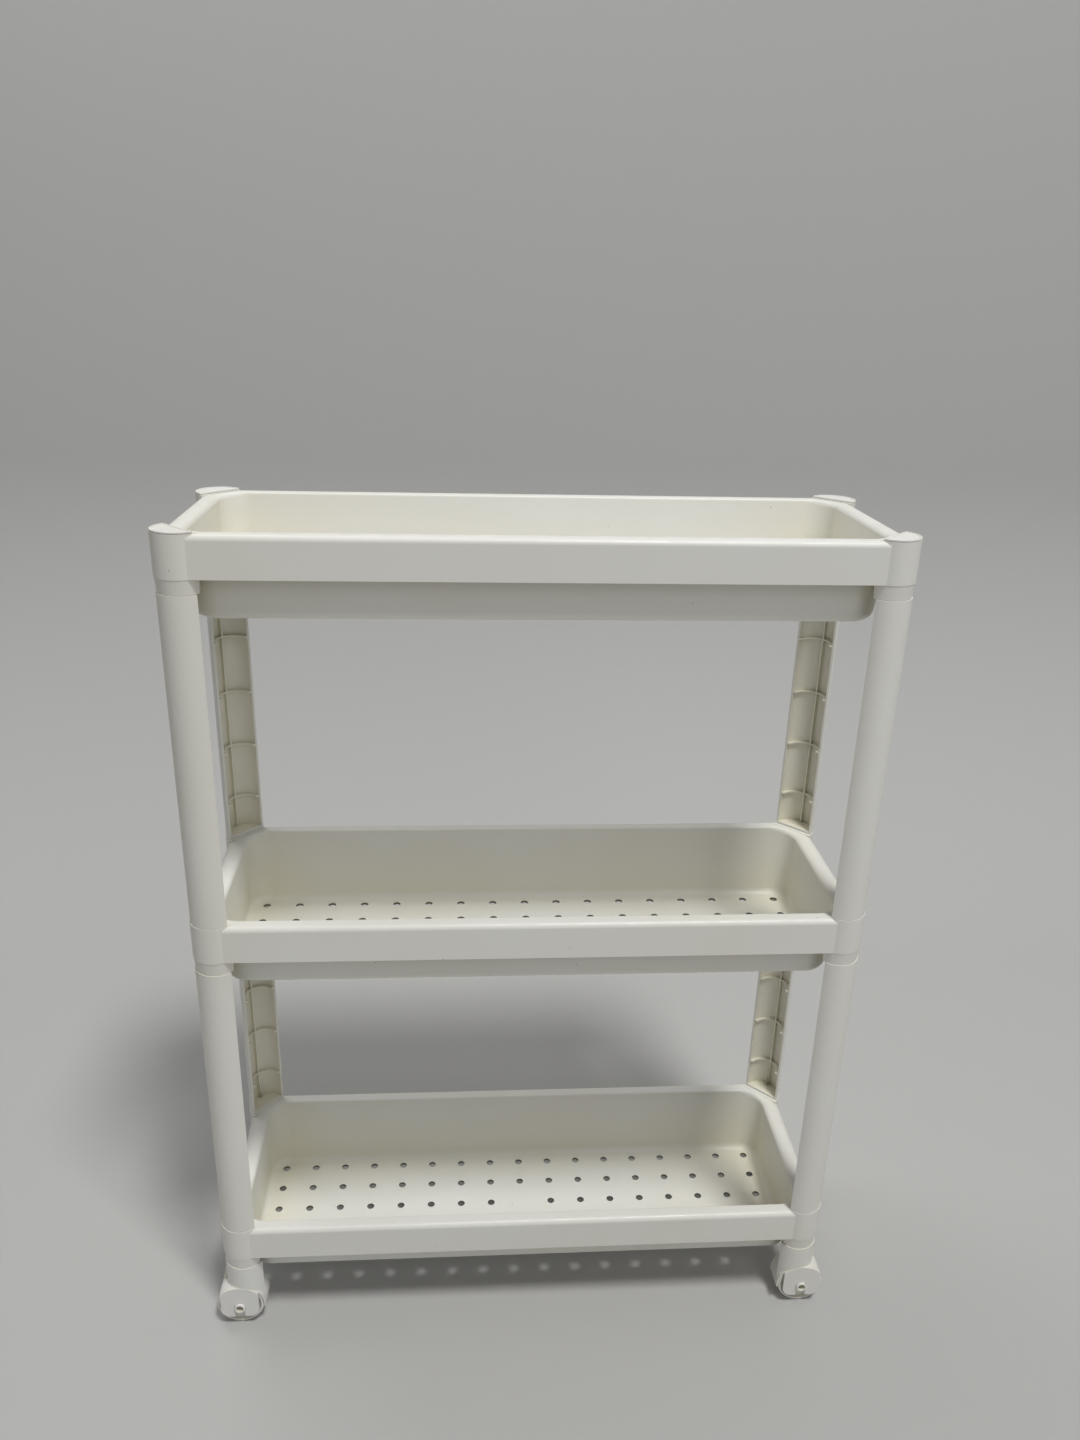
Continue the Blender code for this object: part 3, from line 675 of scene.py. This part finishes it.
def tub_foot(inside):
    """The rounded foot of the tub's wall, of the inside or the outside."""
    outset = 0 if inside else TUB_WALL
    radius = TUB_FILLET + outset
    rings = []
    for step in range(TUB_FILLET_STEPS + 1):
        angle = math.radians(90 * step / TUB_FILLET_STEPS)
        height = radius * (1 - math.cos(angle)) - outset
        spread = outset - radius * (1 - math.sin(angle))
        rings.append(tub_ring(height, spread, spread, inside))
    return rings


def rim_lip():
    """The edge where the tub's wall turns over into the rim, broad at the ends and tight along the sides."""
    rings = []
    for step in range(LIP_STEPS + 1):
        angle = math.radians(90 * step / LIP_STEPS)
        drop = LIP_HEIGHT * (1 - math.sin(angle))
        tight = max(0, 1 - drop / LIP_Y)
        spread_y = LIP_Y * (1 - math.sqrt(1 - tight ** 2))
        rings.append(tub_ring(TUB_DEPTH - drop, LIP_X * (1 - math.cos(angle)), spread_y, True))
    return rings + [tub_ring(TUB_DEPTH + CUT_MARGIN, LIP_X, LIP_Y, True)]


def add_rim_block(bm, inset, low, high):
    """The rim's plan as a block with a round top, its corners cut off so that they end inside the collars."""
    half_x = SKIRT_X - inset
    half_y = SKIRT_Y - inset
    add_box(bm, (-half_x, -half_y, low), (half_x, half_y, high))
    upright = [edge for edge in bm.edges if edge.verts[0].co.z != edge.verts[1].co.z]
    bmesh.ops.bevel(bm, geom=upright, offset=SKIRT_X - COLLAR_X, segments=1, affect="EDGES",
                    offset_type="OFFSET", profile=RIM_ROUNDING_PROFILE)
    round_top_edges(bm, high, 1, RIM_ROUNDING_Y - inset)
    round_top_edges(bm, high, 0, RIM_ROUNDING_X - inset)


def round_top_edges(bm, top, axis, radius):
    """Round the top edges of a block on which one coordinate, 0 for x and 1 for y, stays the same."""
    edges = []
    for edge in bm.edges:
        first, second = (vert.co for vert in edge.verts)
        on_top = abs(first.z - top) < FLAT and abs(second.z - top) < FLAT
        if on_top and abs(first[axis] - second[axis]) < FLAT and edge.calc_length() > LONG_EDGE:
            edges.append(edge)
    bmesh.ops.bevel(bm, geom=edges, offset=radius, segments=RIM_ROUNDING_SEGMENTS, affect="EDGES",
                    offset_type="OFFSET", profile=RIM_ROUNDING_PROFILE)


def drain_holes():
    """Cutters for a grid of holes in the floor, without the middle one."""
    bm = bmesh.new()
    low = TUB_FLOOR_Z - TUB_WALL - CUT_MARGIN
    high = TUB_FLOOR_Z + CUT_MARGIN
    for column in range(HOLE_COLUMNS):
        for row in range(HOLE_ROWS):
            if (column, row) == (HOLE_COLUMNS // 2, HOLE_ROWS // 2):
                continue
            x = HOLE_REACH_X * (2 * column / (HOLE_COLUMNS - 1) - 1)
            y = HOLE_REACH_Y * (2 * row / (HOLE_ROWS - 1) - 1)
            centre = Matrix.Translation((x, y, 0))
            add_cylinder(bm, HOLE_RADIUS, low, high, segments=HOLE_SIDES, matrix=centre)
    return guide("drain_holes", bm)


def mark_hole_walls(mesh):
    """Give the walls of the drain holes the second material slot, whose dark colour is partly dirt and partly
    painted shade.
    """
    for face in mesh.polygons:
        upright = abs(face.normal.z) < UPRIGHT_NORMAL
        in_floor = TUB_FLOOR_Z - TUB_WALL < face.center.z < TUB_FLOOR_Z
        in_rows = abs(face.center.y) < HOLE_REACH_Y + 2 * HOLE_RADIUS
        in_columns = abs(face.center.x) < HOLE_REACH_X + 2 * HOLE_RADIUS
        if upright and in_floor and in_rows and in_columns:
            face.material_index = 1


def collar_guides():
    """Collars, the tapered rings under them and the sockets through both."""
    collars, rings, sockets = bmesh.new(), bmesh.new(), bmesh.new()
    for signs in CORNERS.values():
        matrix = collar_matrix(signs)
        add_half_round(collars, COLLAR_RADIUS, 0, SEAT_HEIGHT, COLLAR_CHORD, matrix=matrix)
        add_half_round(rings, RING_FOOT_RADIUS, -RING_HEIGHT, CUT_MARGIN, COLLAR_CHORD + RING_STEP,
                       top_radius=RING_TOP_RADIUS, matrix=matrix)
        add_half_round(sockets, SOCKET_RADIUS, -RING_HEIGHT - CUT_MARGIN, SEAT_HEIGHT + CUT_MARGIN, 0,
                       matrix=matrix)
    return guide("collars", collars), guide("rings", rings), guide("sockets", sockets)


def tray_mesh():
    """One tray, with z = 0 at the lower edge of its skirt."""
    tray = shape("tray", add_rim_block, 0, 0, SKIRT_HEIGHT)
    under_rim = shape("under_rim", add_rim_block, SKIRT_WALL, -CUT_MARGIN, SKIRT_HEIGHT - SKIRT_WALL)
    tub = loft("tub", tub_foot(False) + [tub_ring(TUB_DEPTH - SKIRT_WALL / 2, TUB_WALL, TUB_WALL, False)])
    hollow = loft("tub_hollow", tub_foot(True) + rim_lip())
    collars, rings, sockets = collar_guides()
    boolean(tray, "DIFFERENCE", under_rim)
    for solid in (tub, collars, rings):
        boolean(tray, "UNION", solid)
    for cutter in (hollow, sockets, drain_holes()):
        boolean(tray, "DIFFERENCE", cutter)
    mesh = cut_mesh(tray)
    mark_hole_walls(mesh)
    return mesh


def leg_bays(bay_radius, channel_radius):
    """The hollows between a leg's ribs, split by the rib that runs up its middle."""
    first_rib = (LEG_LENGTH - LEG_RIB_PITCH * (LEG_RIB_COUNT - 1)) / 2
    ribs = [first_rib + LEG_RIB_PITCH * index for index in range(LEG_RIB_COUNT)]
    lows = [LEG_END_PLATE] + [height + LEG_RIB_WIDTH / 2 for height in ribs]
    highs = [height - LEG_RIB_WIDTH / 2 for height in ribs] + [LEG_LENGTH - LEG_END_PLATE]
    bm = bmesh.new()
    for low, high in zip(lows, highs):
        add_cylinder(bm, bay_radius, low, high)
    bays = guide("bays", bm)
    upright_rib = shape("upright_rib", add_box,
                        (channel_radius - CUT_MARGIN, -LEG_RIB_WIDTH / 2, -CUT_MARGIN),
                        (LEG_RADIUS, LEG_RIB_WIDTH / 2, LEG_LENGTH + CUT_MARGIN))
    boolean(bays, "DIFFERENCE", upright_rib)
    return bays


def leg_mesh():
    """One leg about its collar's axis, with z = 0 at its foot and +X pointing out of the cart."""
    leg = shape("leg", add_half_round, LEG_RADIUS, 0, LEG_LENGTH, 0)
    spigots = bmesh.new()
    foot = (-FOOT_SPIGOT, LEG_END_PLATE / 2)
    head = (LEG_LENGTH - LEG_END_PLATE / 2, LEG_LENGTH + HEAD_SPIGOT)
    for low, high in (foot, head):
        add_half_round(spigots, SPIGOT_RADIUS, low, high, CLEARANCE)
    bay_radius = LEG_RADIUS - LEG_WALL
    channel_radius = bay_radius - LEG_RIB_DEPTH
    channel = shape("channel", add_cylinder, channel_radius, LEG_END_PLATE, LEG_LENGTH - LEG_END_PLATE)
    boolean(leg, "UNION", guide("spigots", spigots))
    boolean(leg, "DIFFERENCE", channel)
    boolean(leg, "DIFFERENCE", leg_bays(bay_radius, channel_radius))
    return cut_mesh(leg)


def cap_mesh():
    """A corner cap about its collar's axis, with z = 0 at the collar's top. A groove follows its border."""
    top = CLEARANCE + CAP_THICKNESS
    groove_floor = top - CAP_GROOVE_DEPTH
    panel_edge = CAP_BORDER + CAP_GROOVE
    cap = shape("cap", add_half_round, CAP_RADIUS, CLEARANCE, top, CAP_CHORD)
    peg = shape("peg", add_half_round, SPIGOT_RADIUS, -CAP_PEG, CLEARANCE + CAP_THICKNESS / 2, CLEARANCE)
    groove = shape("groove", add_half_round, CAP_RADIUS - CAP_BORDER, groove_floor, top + CUT_MARGIN,
                   CAP_CHORD + CAP_BORDER)
    panel = shape("panel", add_half_round, CAP_RADIUS - panel_edge, groove_floor - CUT_MARGIN,
                  top - CAP_PANEL_DROP, CAP_CHORD + panel_edge)
    boolean(groove, "DIFFERENCE", panel)
    boolean(cap, "UNION", peg)
    boolean(cap, "DIFFERENCE", groove)
    return cut_mesh(cap)


def add_gusset(bm, signs):
    """A wedge that carries the outer side of the stem down to the shoulder of the hood."""
    shoulder = AXLE_X + PLATE_CUT - CLEARANCE
    levels = (
        (GUSSET_FOOT, shoulder),
        (AXLE_Z + HOOD_SHOULDER, shoulder),
        (GUSSET_TOP, COLLAR_X + LEG_RADIUS - GUSSET_SETBACK),
    )
    rear = WHEEL_Y - HOUSING_DEPTH / 2 + CLEARANCE
    corners = []
    for z, outer in levels:
        for x in (COLLAR_X, outer):
            for y in (COLLAR_Y, rear):
                corners.append(bm.verts.new((signs[0] * x, signs[1] * y, z)))
    bmesh.ops.convex_hull(bm, input=corners)


def plate_corners(signs):
    """What is cut away to round the lower corners of the cheek plates and to end the hood above them."""
    wide, beyond = HOUSING_CUT_X, HOUSING_CUT_Y
    across = PLATE_CUT - PLATE_CORNER
    drop = PLATE_DROP - PLATE_CORNER
    blocks, rounds = bmesh.new(), bmesh.new()
    for side in (-1, 1):
        ends = sorted((side * across, side * wide))
        add_box(blocks, (ends[0], -beyond, -wide), (ends[1], beyond, -drop), matrix=wheel_centre(signs))
        add_cylinder(rounds, PLATE_CORNER, -2 * beyond, 2 * beyond,
                     matrix=Matrix.Translation((side * across, 0, -drop)) @ axle_matrix(signs))
    cut = guide("plate_corners", blocks)
    boolean(cut, "DIFFERENCE", guide("plate_rounds", rounds))
    return cut


def wheel_opening(signs):
    """Cutters for the wheel and its axle: the space inside, the bores, the slot below and the open foot."""
    axle = axle_matrix(signs)
    middle = wheel_centre(signs)
    wide, beyond = HOUSING_CUT_X, HOUSING_CUT_Y
    half_space = WHEEL_SPACE_WIDTH / 2
    space = shape("space", add_cylinder, WHEEL_SPACE_RADIUS, -half_space, half_space, matrix=axle)
    bores = shape("bores", add_cylinder, AXLE_RADIUS + CLEARANCE, -beyond, beyond, segments=AXLE_SEGMENTS,
                  matrix=axle)
    slot = shape("slot", add_box, (-SLOT_HALF, -beyond, -HOOD_RADIUS), (SLOT_HALF, beyond, SLOT_TOP),
                 matrix=middle)
    foot = shape("foot", add_box, (-wide, -wide, -wide), (wide, wide, -PLATE_DROP), matrix=middle)
    return space, bores, slot, foot


def plate_trims(signs):
    """Cutters for the upright edges: through both plates on one side, and of the outer plate on the other."""
    middle = wheel_centre(signs)
    wide, beyond = HOUSING_CUT_X, HOUSING_CUT_Y
    top = HOOD_SHOULDER + CLEARANCE
    outer = sorted((signs[0] * PLATE_CUT, signs[0] * wide))
    inner = sorted((-signs[0] * PLATE_CUT, -signs[0] * wide))
    plate = sorted((signs[1] * beyond, signs[1] * WHEEL_SPACE_WIDTH / 2))
    outer_trim = shape("outer_trim", add_box, (outer[0], -beyond, -wide), (outer[1], beyond, top),
                       matrix=middle)
    inner_trim = shape("inner_trim", add_box, (inner[0], plate[0], -wide), (inner[1], plate[1], top),
                       matrix=middle)
    return outer_trim, inner_trim


def housing_mesh(signs):
    """A caster's housing in place: plug, stem, hood and two cheek plates round the wheel."""
    collar = collar_matrix(signs)
    half_depth = HOUSING_DEPTH / 2
    housing = shape("housing", add_half_round, LEG_RADIUS, STEM_FOOT, SEAM_Z - CLEARANCE, STEM_CHORD,
                    matrix=collar)
    plug = shape("plug", add_half_round, SPIGOT_RADIUS, SEAM_Z - STEM_WALL / 2, SEAM_Z + HEAD_SPIGOT,
                 CLEARANCE, matrix=collar)
    gusset = shape("gusset", add_gusset, signs)
    hollow = shape("hollow", add_cylinder, LEG_RADIUS - STEM_WALL, AXLE_Z + HOOD_RADIUS + HOOD_WALL,
                   SEAM_Z - STEM_WALL, matrix=collar)
    drum = shape("drum", add_cylinder, HOOD_RADIUS, -half_depth, half_depth, matrix=axle_matrix(signs))
    boolean(housing, "UNION", plug)
    boolean(housing, "UNION", gusset)
    boolean(housing, "DIFFERENCE", hollow)
    boolean(housing, "UNION", drum)
    for cutter in (*wheel_opening(signs), *plate_trims(signs), plate_corners(signs)):
        boolean(housing, "DIFFERENCE", cutter)
    return cut_mesh(housing)


def turned_mesh(name, profile, segments):
    """A ring turned about its local Z axis from a closed profile of (radius, height) points."""
    bm = bmesh.new()
    loop = [bm.verts.new((radius, 0, height)) for radius, height in profile]
    edges = [bm.edges.new((first, second)) for first, second in zip(loop, loop[1:] + loop[:1])]
    bmesh.ops.spin(bm, geom=loop + edges, cent=(0, 0, 0), axis=(0, 0, 1), angle=2 * math.pi, steps=segments,
                   use_merge=True)
    bmesh.ops.remove_doubles(bm, verts=bm.verts, dist=FLAT)
    return cut_mesh(guide(name, bm))


def wheel_profile():
    """Rounded tread, a recess in the outer face and a raised hub."""
    half = WHEEL_WIDTH / 2
    floor = half - WHEEL_RECESS
    bore = AXLE_RADIUS + CLEARANCE
    shoulder = []
    for step in range(WHEEL_ROUNDING_STEPS + 1):
        angle = math.radians(90 * step / WHEEL_ROUNDING_STEPS)
        shoulder.append((WHEEL_RADIUS - WHEEL_ROUNDING + WHEEL_ROUNDING * math.sin(angle),
                         half - WHEEL_ROUNDING + WHEEL_ROUNDING * math.cos(angle)))
    face = [(bore, half), (HUB_RADIUS, half), (HUB_RADIUS, floor), (WHEEL_RECESS_RADIUS, floor),
            (WHEEL_RECESS_RADIUS, half)]
    back = [(radius, -height) for radius, height in reversed(shoulder)]
    return face + shoulder + back + [(bore, -half)]


def axle_profile():
    """A tube with a rounded end on both sides."""
    middle = (AXLE_RADIUS + AXLE_BORE) / 2
    half_wall = (AXLE_RADIUS - AXLE_BORE) / 2
    crown = half_wall * AXLE_CROWN
    end = []
    for step in range(AXLE_CROWN_STEPS + 1):
        angle = math.radians(180 - 180 * step / AXLE_CROWN_STEPS)
        end.append((middle + half_wall * math.cos(angle), AXLE_REACH - crown + crown * math.sin(angle)))
    return end + [(radius, -height) for radius, height in reversed(end)]


def add_trays():
    mesh = tray_mesh()
    for tier, name in enumerate(TIERS):
        lift = Matrix.Translation((0, 0, BOTTOM_SKIRT_Z + tier * TIER_PITCH))
        place(f"{name}_tray", mesh, "tray", "cart", lift)


def add_legs():
    mesh = leg_mesh()
    for tier, level in enumerate(("lower", "upper")):
        foot = BOTTOM_SKIRT_Z + tier * TIER_PITCH + SEAT_HEIGHT + CLEARANCE
        for corner, signs in CORNERS.items():
            place(f"{level}_leg_{corner}", mesh, "leg", "cart", collar_matrix(signs, foot))


def add_caps():
    mesh = cap_mesh()
    seat = BOTTOM_SKIRT_Z + (len(TIERS) - 1) * TIER_PITCH + SEAT_HEIGHT
    for corner, signs in CORNERS.items():
        place(f"corner_cap_{corner}", mesh, "cap", "cart", collar_matrix(signs, seat))


def add_casters():
    """Housings mirrored from the front right one, and in each a wheel with its axle."""
    wheel = turned_mesh("wheel_moulding", wheel_profile(), WHEEL_SEGMENTS)
    axle = turned_mesh("axle_moulding", axle_profile(), AXLE_SEGMENTS)
    housing = housing_mesh(CORNERS["front_right"])
    for corner, signs in CORNERS.items():
        mirror = Matrix.Diagonal((signs[0], -signs[1], 1, 1))
        place(f"caster_housing_{corner}", housing, "housing", "cart", mirror)
        place(f"wheel_{corner}", wheel, "wheel", f"{corner}_wheel_set", axle_matrix(signs))
        place(f"axle_{corner}", axle, "axle", f"{corner}_wheel_set", axle_matrix(signs))


guides = []
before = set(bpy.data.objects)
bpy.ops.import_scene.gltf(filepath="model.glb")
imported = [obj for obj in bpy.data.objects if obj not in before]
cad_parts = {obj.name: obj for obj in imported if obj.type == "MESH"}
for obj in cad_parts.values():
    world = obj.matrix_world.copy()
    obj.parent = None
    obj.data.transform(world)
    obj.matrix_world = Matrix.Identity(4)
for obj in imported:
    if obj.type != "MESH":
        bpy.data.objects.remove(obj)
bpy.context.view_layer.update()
materials = {kind: [plastic(f"{kind}_plastic", *surface)] for kind, surface in SURFACES.items()}
# Dark walls of the drain holes: partly dirt, partly painted shade
materials["tray"].append(plastic("hole_dirt_and_shade", *HOLE_DIRT_AND_SHADE_SURFACE))
add_trays()
add_legs()
add_caps()
add_casters()
add_studio()
add_camera()
